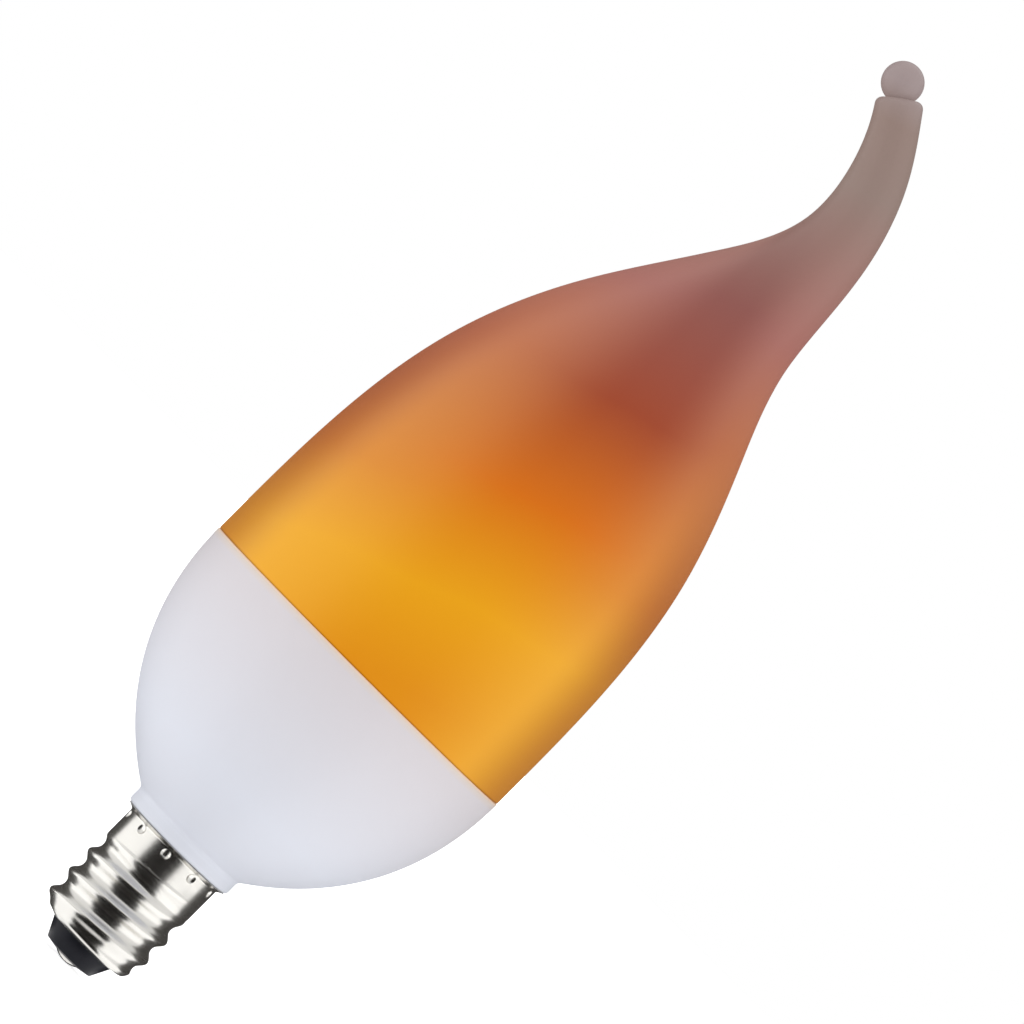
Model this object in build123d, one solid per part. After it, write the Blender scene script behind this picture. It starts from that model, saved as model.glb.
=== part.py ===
from build123d import *

import os
from math import ceil, cos, pi, radians, sin, sqrt

# A candle bulb: a flame-shaped diffuser with a bent tip, on a white bowl, on a small screw cap.
# Millimetres and degrees. Z runs up the lamp's axis from the lowest point of the centre contact, and the
# bent tip lies in the XZ plane, with its belly towards +X.

# Play between pieces that slide together
FIT_CLEARANCE = 0.05

# Centre contact: a domed rivet whose stem goes up through the insulator
CONTACT_DIAMETER = 3.4
CONTACT_DOME_HEIGHT = 0.65
CONTACT_STEM_DIAMETER = 1.6
CONTACT_STEM_PROTRUSION = 0.6

# Insulator: a cone with a recess for the contact, and a head that sits inside the shell
CONTACT_RECESS_DEPTH = 0.2
INSULATOR_NOSE_DIAMETER = 5.55
INSULATOR_NOSE_HEIGHT = 1.9
INSULATOR_NECK_DIAMETER = 7.45
INSULATOR_SEAT_WIDTH = 0.3
INSULATOR_HEAD_HEIGHT = 1.6

# Screw shell: pressed sheet with a rolled right-hand thread, a plain collar and a flared lip
SHELL_WALL = 0.3
THREAD_CREST_DIAMETER = 11.6
THREAD_DEPTH = 0.66
THREAD_PITCH = 2.54
THREAD_LENGTH = 9.4
THREAD_LEAD_IN = 1.1
THREAD_RUNOUT = 1.1
THREAD_START_ANGLE = -38.0
RIM_ROUND_HEIGHT = 0.9
COLLAR_DIAMETER = 11.2
COLLAR_HEIGHT = 2.75
LIP_DIAMETER = 12.5
LIP_HEIGHT = 0.5

# Crimps: round punch marks in the collar that bite into the housing's spigot
CRIMP_COUNT = 10
CRIMP_DIAMETER = 0.95
CRIMP_DEPTH = 0.18
CRIMP_BELOW_LIP = 0.55
CRIMP_START_ANGLE = -93.0

# Housing: a white bowl on a neck ring, with a spigot in the shell's collar
SPIGOT_ABOVE_THREAD = 0.5
NECK_RING_DIAMETER = 12.9
NECK_RING_HEIGHT = 1.6
BOWL_DIAMETER = 37.1
BOWL_HEIGHT = 22.55
BOWL_FLARE_ANGLE = 52.0
BOWL_FLARE_REACH = 2.0
BOWL_SIDE_REACH = 15.0
BOWL_RIM_WIDTH = 1.6

# Seam: the diffuser stands a hair inside the bowl's rim, and both edges are broken
SEAM_STEP = 0.05
SEAM_EDGE_ROUND = 0.15
PLUG_DEPTH = 2.0

# Diffuser: its height above the seam without the ball, and each section's rise above the one below, its
# diameter and its throw to the side. The belly takes the rise that the other sections leave.
FLAME_HEIGHT = 74.1
BELLY_INSET = 0.3
SHOULDER_RISE = 13.2
SHOULDER_DIAMETER = 32.3
SHOULDER_THROW = 0.1
WAIST_RISE = 11.35
WAIST_DIAMETER = 23.5
WAIST_THROW = 0.75
NAPE_RISE = 9.45
NAPE_DIAMETER = 14.1
NAPE_THROW = 2.15
BOW_RISE = 10.85
BOW_DIAMETER = 7.6
BOW_THROW = 3.75
HOOK_RISE = 7.8
HOOK_DIAMETER = 5.7
HOOK_THROW = 2.1
TAIL_RISE = 6.6
TAIL_DIAMETER = 4.6
TAIL_THROW = -1.65
TAIL_LEAN = 36.0
TAIL_EDGE_ROUND = 0.7
BALL_DIAMETER = 4.15
BALL_SINK = 0.5

# How finely the thread and the flame are followed
SECTIONS_PER_TURN = 8
RIM_SECTIONS = 9
FLAME_SECTIONS = 40

# Heights that follow from the sizes above
NOSE_Z = CONTACT_DOME_HEIGHT
RIM_Z = NOSE_Z + INSULATOR_NOSE_HEIGHT
SHELL_FLOOR_Z = RIM_Z + SHELL_WALL
HEAD_TOP_Z = SHELL_FLOOR_Z + INSULATOR_HEAD_HEIGHT
COLLAR_Z = RIM_Z + THREAD_LENGTH
LIP_Z = COLLAR_Z + COLLAR_HEIGHT
NECK_Z = LIP_Z + LIP_HEIGHT
BOWL_Z = NECK_Z + NECK_RING_HEIGHT
SEAM_Z = BOWL_Z + BOWL_HEIGHT
RISES_ABOVE_BELLY = SHOULDER_RISE + WAIST_RISE + NAPE_RISE + BOW_RISE + HOOK_RISE + TAIL_RISE
BELLY_RISE = FLAME_HEIGHT - RISES_ABOVE_BELLY

# Radii that follow from the sizes above
CREST_RADIUS = THREAD_CREST_DIAMETER / 2
ROOT_RADIUS = CREST_RADIUS - THREAD_DEPTH
COLLAR_RADIUS = COLLAR_DIAMETER / 2
HEAD_RADIUS = INSULATOR_NECK_DIAMETER / 2 + INSULATOR_SEAT_WIDTH
RIM_ROUND_WIDTH = ROOT_RADIUS - HEAD_RADIUS - FIT_CLEARANCE
SPIGOT_RADIUS = COLLAR_RADIUS - SHELL_WALL - FIT_CLEARANCE
RECESS_RADIUS = BOWL_DIAMETER / 2 - BOWL_RIM_WIDTH
FOOT_DIAMETER = BOWL_DIAMETER - 2 * SEAM_STEP

UPWARDS = (Align.CENTER, Align.CENTER, Align.MIN)


def turned(*outline):
    """A solid of revolution about the lamp's axis, from an outline of lines and curves in the XZ plane."""
    return revolve(make_face(Curve() + outline), Axis.Z)


def ramp(height, start, end):
    """Rises smoothly from 0 at the start height to 1 at the end height."""
    share = min(max((height - start) / (end - start), 0), 1)
    return share * share * (3 - 2 * share)


def centre_contact():
    radius = CONTACT_DIAMETER / 2
    stem = CONTACT_STEM_DIAMETER / 2
    top = HEAD_TOP_Z + CONTACT_STEM_PROTRUSION
    ball = (radius**2 + CONTACT_DOME_HEIGHT**2) / (2 * CONTACT_DOME_HEIGHT)
    half_way = radius / 2
    dome = ThreePointArc((0, 0, 0), (half_way, 0, ball - sqrt(ball**2 - half_way**2)), (radius, 0, NOSE_Z))
    back = Polyline((radius, 0, NOSE_Z), (stem, 0, NOSE_Z), (stem, 0, top), (0, 0, top), (0, 0, 0))
    return turned(dome, back)


def insulator():
    bore = CONTACT_STEM_DIAMETER / 2 + FIT_CLEARANCE
    recess = CONTACT_DIAMETER / 2 + FIT_CLEARANCE
    nose = INSULATOR_NOSE_DIAMETER / 2
    neck = INSULATOR_NECK_DIAMETER / 2
    return turned(
        Polyline(
            (bore, 0, NOSE_Z),
            (recess, 0, NOSE_Z),
            (recess, 0, NOSE_Z - CONTACT_RECESS_DEPTH),
            (nose, 0, NOSE_Z),
            (neck, 0, RIM_Z),
            (neck, 0, SHELL_FLOOR_Z),
            (HEAD_RADIUS, 0, SHELL_FLOOR_Z),
            (HEAD_RADIUS, 0, HEAD_TOP_Z),
            (bore, 0, HEAD_TOP_Z),
            close=True,
        )
    )


def thread_circle(height, wall):
    """The shell's section at a height above its rim. A shallow rolled thread is a circle whose centre runs
    round the axis once a pitch, so its crest is on one side and its root on the other."""
    crest_fade = ramp(height, THREAD_LENGTH - 2 * THREAD_RUNOUT, THREAD_LENGTH - THREAD_RUNOUT)
    root_fade = ramp(height, THREAD_LENGTH - THREAD_RUNOUT, THREAD_LENGTH)
    crest = CREST_RADIUS + (COLLAR_RADIUS - CREST_RADIUS) * crest_fade
    root = ROOT_RADIUS + (COLLAR_RADIUS - ROOT_RADIUS) * root_fade
    swing = (crest - root) / 2 * ramp(height, SHELL_WALL, THREAD_LEAD_IN)
    depth_in_round = max(RIM_ROUND_HEIGHT - height, 0) / (RIM_ROUND_HEIGHT - wall)
    tuck = (RIM_ROUND_WIDTH - wall) * (1 - sqrt(1 - min(depth_in_round, 1) ** 2))
    turn = 2 * pi * height / THREAD_PITCH + radians(THREAD_START_ANGLE)
    centre = Pos(swing * cos(turn), swing * sin(turn), RIM_Z + height)
    return centre * Circle(root + swing - tuck - wall)


def threaded_core(wall):
    """The threaded length as a solid plug, drawn in by the wall for the shell's inside."""
    quarter_steps = [pi / 2 * i / RIM_SECTIONS for i in range(RIM_SECTIONS)]
    rim = [wall + (RIM_ROUND_HEIGHT - wall) * (1 - cos(angle)) for angle in quarter_steps]
    length = THREAD_LENGTH - RIM_ROUND_HEIGHT
    count = ceil(length / THREAD_PITCH * SECTIONS_PER_TURN)
    thread = [RIM_ROUND_HEIGHT + length * i / count for i in range(count + 1)]
    return loft([thread_circle(height, wall) for height in rim + thread])


def collar_form(wall):
    """The collar and its lip as a solid plug, drawn in by the wall or by a part of it."""
    collar = Pos(0, 0, COLLAR_Z) * Cylinder(COLLAR_RADIUS - wall, COLLAR_HEIGHT, align=UPWARDS)
    lip = Pos(0, 0, LIP_Z) * Cone(COLLAR_RADIUS - wall, LIP_DIAMETER / 2 - wall, LIP_HEIGHT, align=UPWARDS)
    return collar + lip


def crimp_balls(growth):
    """The punch's ball at every crimp, as deep in the collar as it goes, grown by a wall or a play."""
    radius = ((CRIMP_DIAMETER / 2) ** 2 + CRIMP_DEPTH**2) / (2 * CRIMP_DEPTH)
    place = Pos(COLLAR_RADIUS - CRIMP_DEPTH + radius, 0, LIP_Z - CRIMP_BELOW_LIP)
    angles = [CRIMP_START_ANGLE + 360 * i / CRIMP_COUNT for i in range(CRIMP_COUNT)]
    return [Rot(0, 0, angle) * place * Sphere(radius + growth) for angle in angles]


def screw_shell():
    hole = Pos(0, 0, RIM_Z) * Cylinder(
        INSULATOR_NECK_DIAMETER / 2 + FIT_CLEARANCE, INSULATOR_HEAD_HEIGHT, align=UPWARDS
    )
    outside = threaded_core(0) + collar_form(0)
    inside = threaded_core(SHELL_WALL) + collar_form(SHELL_WALL)
    mid_wall = collar_form(SHELL_WALL / 2)
    pressed_in = [ball & mid_wall for ball in crimp_balls(SHELL_WALL)]
    return outside - inside - hole + pressed_in - crimp_balls(0)


def housing():
    ring = NECK_RING_DIAMETER / 2
    rim = BOWL_DIAMETER / 2
    flare_out = BOWL_FLARE_REACH * sin(radians(BOWL_FLARE_ANGLE))
    flare_up = BOWL_FLARE_REACH * cos(radians(BOWL_FLARE_ANGLE))
    foot = COLLAR_Z + SPIGOT_ABOVE_THREAD
    neck = Polyline(
        (0, 0, foot),
        (SPIGOT_RADIUS, 0, foot),
        (SPIGOT_RADIUS, 0, NECK_Z),
        (ring, 0, NECK_Z),
        (ring, 0, BOWL_Z),
    )
    bowl = Bezier(
        (ring, 0, BOWL_Z),
        (ring + flare_out, 0, BOWL_Z + flare_up),
        (rim, 0, SEAM_Z - BOWL_SIDE_REACH),
        (rim, 0, SEAM_Z),
    )
    recess_floor = SEAM_Z - PLUG_DEPTH - FIT_CLEARANCE
    mouth = Polyline(
        (rim, 0, SEAM_Z),
        (RECESS_RADIUS, 0, SEAM_Z),
        (RECESS_RADIUS, 0, recess_floor),
        (0, 0, recess_floor),
        (0, 0, foot),
    )
    body = turned(neck, bowl, mouth)
    rim_edge = body.edges().filter_by_position(Axis.Z, SEAM_Z, SEAM_Z).sort_by(SortBy.LENGTH)[-1]
    body = fillet(rim_edge, SEAM_EDGE_ROUND)
    return body - crimp_balls(SHELL_WALL + FIT_CLEARANCE)


def flame_guide():
    """A curve whose X, Y and Z are the throw, the radius and the height of the flame's sections."""
    stations = (
        (SEAM_EDGE_ROUND, FOOT_DIAMETER, 0),
        (BELLY_RISE - SEAM_EDGE_ROUND, FOOT_DIAMETER - 2 * BELLY_INSET, 0),
        (SHOULDER_RISE, SHOULDER_DIAMETER, SHOULDER_THROW),
        (WAIST_RISE, WAIST_DIAMETER, WAIST_THROW),
        (NAPE_RISE, NAPE_DIAMETER, NAPE_THROW),
        (BOW_RISE, BOW_DIAMETER, BOW_THROW),
        (HOOK_RISE, HOOK_DIAMETER, HOOK_THROW),
        (TAIL_RISE, TAIL_DIAMETER, TAIL_THROW),
    )
    height = SEAM_Z
    points = []
    for rise, diameter, throw in stations:
        height += rise
        points.append(Vector(throw, diameter / 2, height))
    leaning = Vector(0, 0, 1).rotate(Axis.Y, -TAIL_LEAN)
    return Spline(*points, tangents=(Vector(0, 0, 1), leaning))


def flame_plane(guide, share):
    """The plane of the flame's section at a share of the guide, square to the flame's middle line."""
    place = guide @ share
    run = guide % share
    return Plane((place.X, 0, place.Z), x_dir=(0, 1, 0), z_dir=(run.X, 0, run.Z))


def flame_foot():
    """The diffuser's rounded lower edge, and below it the plug that sits in the bowl's mouth."""
    foot = FOOT_DIAMETER / 2
    plug = RECESS_RADIUS - FIT_CLEARANCE
    edge_z = SEAM_Z + SEAM_EDGE_ROUND
    seat = Polyline(
        (0, 0, edge_z),
        (0, 0, SEAM_Z - PLUG_DEPTH),
        (plug, 0, SEAM_Z - PLUG_DEPTH),
        (plug, 0, SEAM_Z),
        (foot - SEAM_EDGE_ROUND, 0, SEAM_Z),
    )
    edge = TangentArc((foot - SEAM_EDGE_ROUND, 0, SEAM_Z), (foot, 0, edge_z), tangent=(1, 0, 0))
    return turned(seat, edge, Line((foot, 0, edge_z), (0, 0, edge_z)))


def diffuser():
    guide = flame_guide()
    shares = [i / FLAME_SECTIONS for i in range(FLAME_SECTIONS + 1)]
    flame = loft([flame_plane(guide, share) * Circle((guide @ share).Y) for share in shares])
    flame = fillet(flame.edges().sort_by(Axis.Z)[-1], TAIL_EDGE_ROUND)
    ball_lift = BALL_DIAMETER / 2 - BALL_SINK
    ball = flame_plane(guide, 1) * Pos(0, 0, ball_lift) * Sphere(BALL_DIAMETER / 2)
    return flame + ball + flame_foot()


PIECES = {
    "centre_contact": centre_contact,
    "insulator": insulator,
    "screw_shell": screw_shell,
    "housing": housing,
    "diffuser": diffuser,
}

os.makedirs("parts", exist_ok=True)
for name, make in PIECES.items():
    export_step(make(), f"parts/{name}.step")
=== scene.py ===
import math

import bmesh
import bpy
import numpy as np
from bpy.props import FloatProperty, FloatVectorProperty, IntProperty, PointerProperty
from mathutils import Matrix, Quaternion, Vector


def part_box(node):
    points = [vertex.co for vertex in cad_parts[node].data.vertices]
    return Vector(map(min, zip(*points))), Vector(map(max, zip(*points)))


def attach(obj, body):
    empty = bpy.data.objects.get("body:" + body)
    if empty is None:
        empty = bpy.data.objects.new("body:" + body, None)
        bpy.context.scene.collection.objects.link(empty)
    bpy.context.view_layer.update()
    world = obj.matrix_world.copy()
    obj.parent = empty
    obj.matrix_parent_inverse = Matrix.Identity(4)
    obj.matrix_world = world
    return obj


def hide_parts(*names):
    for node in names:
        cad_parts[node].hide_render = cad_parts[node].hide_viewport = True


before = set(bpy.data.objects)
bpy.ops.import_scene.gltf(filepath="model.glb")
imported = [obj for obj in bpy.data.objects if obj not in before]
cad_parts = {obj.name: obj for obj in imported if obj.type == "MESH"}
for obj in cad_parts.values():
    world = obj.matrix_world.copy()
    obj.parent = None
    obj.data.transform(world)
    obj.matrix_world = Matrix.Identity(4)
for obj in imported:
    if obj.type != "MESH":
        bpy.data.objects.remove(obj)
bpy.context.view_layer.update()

bl_info = {
    "name": "Candle Bulb",
    "version": (1, 0, 0),
    "blender": (4, 5, 0),
    "location": "View3D > Sidebar > Candle Bulb",
    "description": "Dresses a flame-shaped candle bulb with a small screw cap, and lights it in a studio",
    "category": "Add Mesh",
}

MM = 0.001
BODY = "root"

# Heights and radii that the solids fix, in metres
CONTACT_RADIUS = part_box("centre_contact")[1].x
STEM_TOP_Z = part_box("centre_contact")[1].z
INSULATOR_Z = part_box("insulator")[0].z
HEAD_TOP_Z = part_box("insulator")[1].z
HEAD_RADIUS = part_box("insulator")[1].x
RIM_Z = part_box("screw_shell")[0].z
NECK_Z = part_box("screw_shell")[1].z
LIP_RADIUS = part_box("screw_shell")[1].x
SPIGOT_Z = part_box("housing")[0].z
SEAM_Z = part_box("housing")[1].z
BOWL_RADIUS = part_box("housing")[1].x
PLUG_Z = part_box("diffuser")[0].z
TIP_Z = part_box("diffuser")[1].z

# How finely the forms are followed
ARC_STEPS = 6
FLAME_COLUMNS = 160
FLAME_ROWS = 150
BALL_ROWS = 24
BOWL_COLUMNS = 160
BOWL_ROWS = 60
CAP_COLUMNS = 96
DOME_ROWS = 10
SHELL_COLUMNS_PER_CRIMP = 40
THREAD_ROWS = 110
THREAD_ROWS_PER_INSIDE_ROW = 3
CRIMP_RINGS = 8
LIP_ROWS = 8
CARD_STEPS = 48

# Edges that turn further than this show as sharp
SHARP_ANGLE = math.radians(40)


def linear(code):
    """An sRGB hex colour as linear red, green and blue."""
    shares = [int(code[i : i + 2], 16) / 255 for i in (1, 3, 5)]
    return tuple(c / 12.92 if c <= 0.04045 else ((c + 0.055) / 1.055) ** 2.4 for c in shares)


def length(name, description, millimetres):
    """A length that the user can change, in metres."""
    return FloatProperty(
        name=name,
        description=description,
        default=millimetres * MM,
        precision=5,
        unit="LENGTH",
        subtype="DISTANCE",
    )


def turn(name, description, degrees):
    """An angle that the user can change, in radians."""
    return FloatProperty(name=name, description=description, default=math.radians(degrees), subtype="ANGLE")


def share(name, description, default):
    """A share or a level that the user can change."""
    return FloatProperty(name=name, description=description, default=default, min=0.0)


def tint(name, description, code):
    """A colour that the user can change, written as sRGB hex."""
    return FloatVectorProperty(
        name=name, description=description, default=linear(code), size=3, subtype="COLOR"
    )


def station(name, rise, diameter, throw):
    """A section of the flame: its rise above the one below, its diameter and its throw to the side."""
    return FloatVectorProperty(
        name=name,
        description=f"Rise, diameter and throw of the {name.lower()}",
        default=(rise * MM, diameter * MM, throw * MM),
        size=3,
        unit="LENGTH",
        precision=5,
    )


class DiffuserSettings(bpy.types.PropertyGroup):
    """Sizes and colours of the flame-shaped diffuser"""

    foot: station("Foot", 0, 37.0, 0)
    belly: station("Belly", 14.85, 36.4, 0)
    shoulder: station("Shoulder", 13.2, 32.3, 0.1)
    waist: station("Waist", 11.35, 23.5, 0.75)
    nape: station("Nape", 9.45, 14.1, 2.15)
    bow: station("Bow", 10.85, 7.6, 3.75)
    hook: station("Hook", 7.8, 5.7, 2.1)
    tail: station("Tail", 6.6, 4.6, -1.65)
    tail_lean: turn("Tail lean", "How far the tail's end leans over", 36.0)
    tail_round: length("Tail edge", "Round of the tail's end", 0.7)
    ball: length("Ball", "Diameter of the ball on the tail", 4.15)
    ball_sink: length("Ball sink", "How far the ball sinks into the tail", 0.5)
    foot_round: length("Foot edge", "Round of the edges at the seam and under the plug", 0.15)
    plug_radius: length("Plug radius", "Radius of the plug inside the bowl", 16.9)
    amber: tint("Amber", "Glow just above the seam", "#E3900A")
    yellow: tint("Yellow", "Brightest glow, low in the flame", "#ECA30C")
    orange: tint("Orange", "Glow half way up the flame", "#D9700C")
    ember: tint("Ember", "Dark red heart above the glow", "#A0472A")
    mauve: tint("Mauve", "Smoky pink where the flame narrows", "#8F5751")
    smoke: tint("Smoke", "Grey brown of the unlit tail", "#968179")
    # The pale tongue colours are partly the flame's pattern and partly a painted sheen of the side
    # softboxes
    pale_yellow: tint("Pale yellow", "Tongues of the flame near the seam", "#F4B033")
    pale_orange: tint("Pale orange", "Tongues of the flame half way up", "#E1913A")
    copper: tint("Copper", "Tongues of the flame around the dark heart", "#C27650")
    rose: tint("Rose", "Tongues of the flame where it narrows", "#AC7168")
    heart_turn: turn("Heart turn", "How far the dark heart is turned from the front", 7.0)
    mist: tint("Mist", "Pale grey of the ball", "#A29291")
    # Painted shade: the flank filter darkens the flame's two sides low down
    painted_flank_shade: tint("Flank", "Filter over the flame's two sides near the seam", "#D0BCE6")
    # Painted shade: the foot shade filter darkens the foot into a dark line along the seam
    painted_seam_shade: tint("Foot shade", "Filter over the foot in the bowl's rim", "#C4B8AA")
    glow: share("Glow", "Share of the flame's colour that shines from inside", 0.5)
    skin: share("Skin", "Share of the flame's colour that the skin reflects", 0.5)


class HousingSettings(bpy.types.PropertyGroup):
    """Sizes and colours of the white bowl"""

    ring_radius: length("Ring radius", "Radius of the neck ring", 6.45)
    ring_height: length("Ring height", "Height of the neck ring", 1.6)
    ring_round: length("Ring edge", "Round of the lower edges of the neck ring and spigot", 0.35)
    neck_round: length("Neck round", "Hollow round between the neck ring and the bowl", 0.6)
    flare_angle: turn("Flare angle", "How far the bowl leans out above the ring", 52.0)
    flare_reach: length("Flare reach", "How far the lean is felt", 2.0)
    side_reach: length("Side reach", "How far the upright side is felt below the seam", 15.0)
    rim_round: length("Rim edge", "Round of the bowl's rim", 0.15)
    rim_width: length("Rim width", "Width of the rim around the diffuser's plug", 1.6)
    recess_depth: length("Recess depth", "Depth of the recess for the diffuser's plug", 2.05)
    spigot_radius: length("Spigot radius", "Radius of the spigot inside the cap, clear of the crimps", 4.6)
    # Neck white, the upper white, blush and rim glow are painted shade and painted light of the flame on
    # the bowl
    neck_white: tint("Neck white", "Colour of the neck ring, in the bowl's shade", "#E2E5EE")
    white: tint("White", "Colour of the bowl", "#E8EBF5")
    flame_lit_shaded_white: tint("Warm white", "Colour of the upper bowl, which the flame warms", "#DDD7DB")
    blush: tint("Blush", "Colour just below the seam, where the flame shines through", "#E1D3CA")
    rim_glow: tint("Rim glow", "Colour of the rim that the flame lights", "#F2D2B4")


class CapSettings(bpy.types.PropertyGroup):
    """Sizes and colours of the screw cap: shell, insulator and centre contact"""

    wall: length("Wall", "Thickness of the pressed sheet", 0.3)
    crest_radius: length("Crest radius", "Radius over the thread's crests", 5.8)
    thread_depth: length("Thread depth", "Depth of the rolled thread", 0.66)
    thread_pitch: length("Thread pitch", "Rise of the thread in one turn", 2.54)
    thread_length: length("Thread length", "Height of the threaded part above the rim", 9.4)
    thread_runout: length("Thread run-out", "Height over which the thread fades into the collar", 1.1)
    runout_slant: length("Run-out slant", "How much lower the thread fades at the right", 0.8)
    thread_start: turn("Thread start", "Where the thread's crest leaves the rim", -38.0)
    ridge_height: length("Ridge height", "Height of the faint last ridge at the collar's foot", 0.085)
    ridge_width: length("Ridge width", "Half the width of the last ridge", 0.27)
    ridge_level: length("Ridge level", "Height of the last ridge above the rim, at its middle", 9.43)
    ridge_middle: turn("Ridge middle", "Direction of the middle of the last ridge", -90.0)
    ridge_reach: turn("Ridge reach", "How far the last ridge goes to each side before it fades out", 75.0)
    crest_sharpness: share("Crest sharpness", "1 is a plain wave, and more gives narrower crests", 1.4)
    rim_rise: length("Rim rise", "How far the shell's floor rises to its rim at the right", 0.25)
    rim_slant: length("Rim slant", "How much more the shell's floor rises at the left", 0.42)
    rim_slant_fade: length("Rim slant fade", "Height over which the thread's rows even out the slant", 2.5)
    rim_round: length("Rim round", "Round of the shell's rim", 0.5)
    thread_fade_from: length("Thread fade start", "Height above the rim where the crest begins", 0.45)
    thread_fade_to: length("Thread fade end", "Height above the rim where the crest is full", 1.2)
    collar_radius: length("Collar radius", "Radius of the plain collar", 5.6)
    lip_height: length("Lip height", "Height of the flared lip", 0.5)
    lip_curve: share("Lip curve", "1 is a straight flare, and more bends it out towards its edge", 1.5)
    crimp_count: IntProperty(
        name="Crimps", description="How many punched crimps hold the cap", default=10, min=1
    )
    crimp_start: turn("Crimp start", "Direction of the first crimp", -93.0)
    crimp_below_lip: length("Crimp height", "Distance of the crimps below the lip", 0.48)
    crimp_radius: length("Crimp radius", "Radius of a crimp at the collar's surface", 0.5)
    crimp_depth: length("Crimp depth", "Depth of a crimp's round hollow", 0.22)
    hole_radius: length("Hole radius", "Radius of the hole in the shell's floor", 3.775)
    recess_radius: length("Recess radius", "Radius of the insulator's recess for the contact", 1.75)
    recess_depth: length("Recess depth", "Depth of the insulator's recess for the contact", 0.2)
    nose_radius: length("Nose radius", "Radius of the insulator's lower end", 2.775)
    neck_radius: length("Neck radius", "Radius of the insulator at the rim", 3.725)
    insulator_round: length("Insulator edge", "Round of the insulator's lower and upper edges", 0.12)
    bore_radius: length("Bore radius", "Radius of the insulator's bore for the contact's stem", 0.85)
    stem_radius: length("Stem radius", "Radius of the contact's stem", 0.8)
    contact_edge: length("Contact edge", "Height of the contact's edge, with its upper half rounded", 0.08)
    nickel: tint("Nickel", "Colour of the plating", "#D6D4CF")
    black: tint("Black", "Colour of the insulator", "#16171F")
    silver: tint("Silver", "Colour of the centre contact", "#DAD8D4")


class StageSettings(bpy.types.PropertyGroup):
    """Sizes, colours and levels of the studio"""

    view_distance: length("Camera distance", "Distance of the camera from the bulb's axis", 756.0)
    view_height: length("Camera height", "Height of the camera", 54.0)
    aim_height: length("Aim height", "Height that the camera is aimed at", 59.9)
    view_width: length("View width", "Width of the picture at the bulb's axis", 96.77)
    view_roll: turn("Camera roll", "Tilt of the picture", 45.0)
    card_distance: length("Card distance", "Distance of the softboxes and flags from the bulb", 600.0)
    card_height: length("Card height", "Height of the softboxes and flags", 1000.0)
    left_from: turn("Left softbox start", "Edge of the left softbox, round from the front", -38.0)
    left_to: turn("Left softbox end", "Other edge of the left softbox", -116.0)
    right_from: turn("Right softbox start", "Edge of the right softbox, round from the front", 32.0)
    right_to: turn("Right softbox end", "Other edge of the right softbox", 102.0)
    # The foot shadow settings size a dark card that paints the shadow below the contact into the contact's
    # reflection
    foot_side: length("Foot shadow side", "Reach of the dark spot below the contact to each side", 1.6)
    foot_front: length("Foot shadow front", "Reach of the dark spot below the contact to the front", 0.62)
    foot_back: length("Foot shadow back", "Reach of the dark spot below the contact to the back", 4.0)
    near_from: turn("Near flag start", "Edge of the dark card on the floor beside the rim", -98.0)
    near_reach: length("Near flag reach", "Reach of the dark card beside the rim", 16.0)
    floor_gap: length("Floor gap", "Radius around the cap that the flags on the floor leave white", 5.85)
    box_level: share("Softbox level", "Brightness of the softboxes", 1.1)
    fill_level: share("Fill level", "Brightness of the light from all around", 1.0)
    floor_size: length("Floor size", "Width of the floor", 6000.0)
    floor_glow: share("Floor glow", "Share of the floor's white that needs no light", 0.75)
    floor: tint("Floor", "Colour of the floor", "#F2F2F2")
    flag: tint("Front flag", "Colour of the black cards in front and below the contact", "#262423")
    back_flag: tint("Back flag", "Colour of the dark cards behind and beside the rim", "#4A4846")


class CandleBulbSettings(bpy.types.PropertyGroup):
    """All sizes and colours of the candle bulb and its studio"""

    diffuser: PointerProperty(type=DiffuserSettings, name="Diffuser", description="Flame-shaped diffuser")
    housing: PointerProperty(type=HousingSettings, name="Housing", description="White bowl")
    cap: PointerProperty(type=CapSettings, name="Cap", description="Screw cap")
    stage: PointerProperty(type=StageSettings, name="Stage", description="Studio")


def ramp(height, start, end):
    """Rises smoothly from 0 at the start height to 1 at the end height."""
    part = np.clip((height - start) / (end - start), 0, 1)
    return part * part * (3 - 2 * part)


def unit(vector):
    """The vector at a length of 1."""
    return vector / np.linalg.norm(vector)


def rounded(*corners):
    """An outline through corners of radius, height and round, with an arc of that round at each corner."""
    outline = []
    for i, (radius, height, size) in enumerate(corners):
        corner = np.array((radius, height))
        if not size:
            outline.append(corner)
            continue
        back = unit(np.array(corners[i - 1][:2]) - corner)
        ahead = unit(np.array(corners[i + 1][:2]) - corner)
        half = math.acos(np.clip(back @ ahead, -1, 1)) / 2
        middle = corner + unit(back + ahead) * size / math.sin(half)
        first = corner + back * size / math.tan(half) - middle
        last = corner + ahead * size / math.tan(half) - middle
        sweep = math.pi - 2 * half
        for step in range(ARC_STEPS + 1):
            angle = sweep * step / ARC_STEPS
            spoke = (first * math.sin(sweep - angle) + last * math.sin(angle)) / math.sin(sweep)
            outline.append(middle + spoke)
    return outline


def turned_rings(outline, columns):
    """Rings about the lamp's axis, or points on it, one for each radius and height of the outline."""
    angles = 2 * np.pi * np.arange(columns) / columns
    rings = []
    for radius, height in outline:
        around = angles if radius > 0 else angles[:1]
        level = np.full(len(around), height)
        rings.append(np.stack((radius * np.cos(around), radius * np.sin(around), level), axis=1))
    return rings


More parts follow.
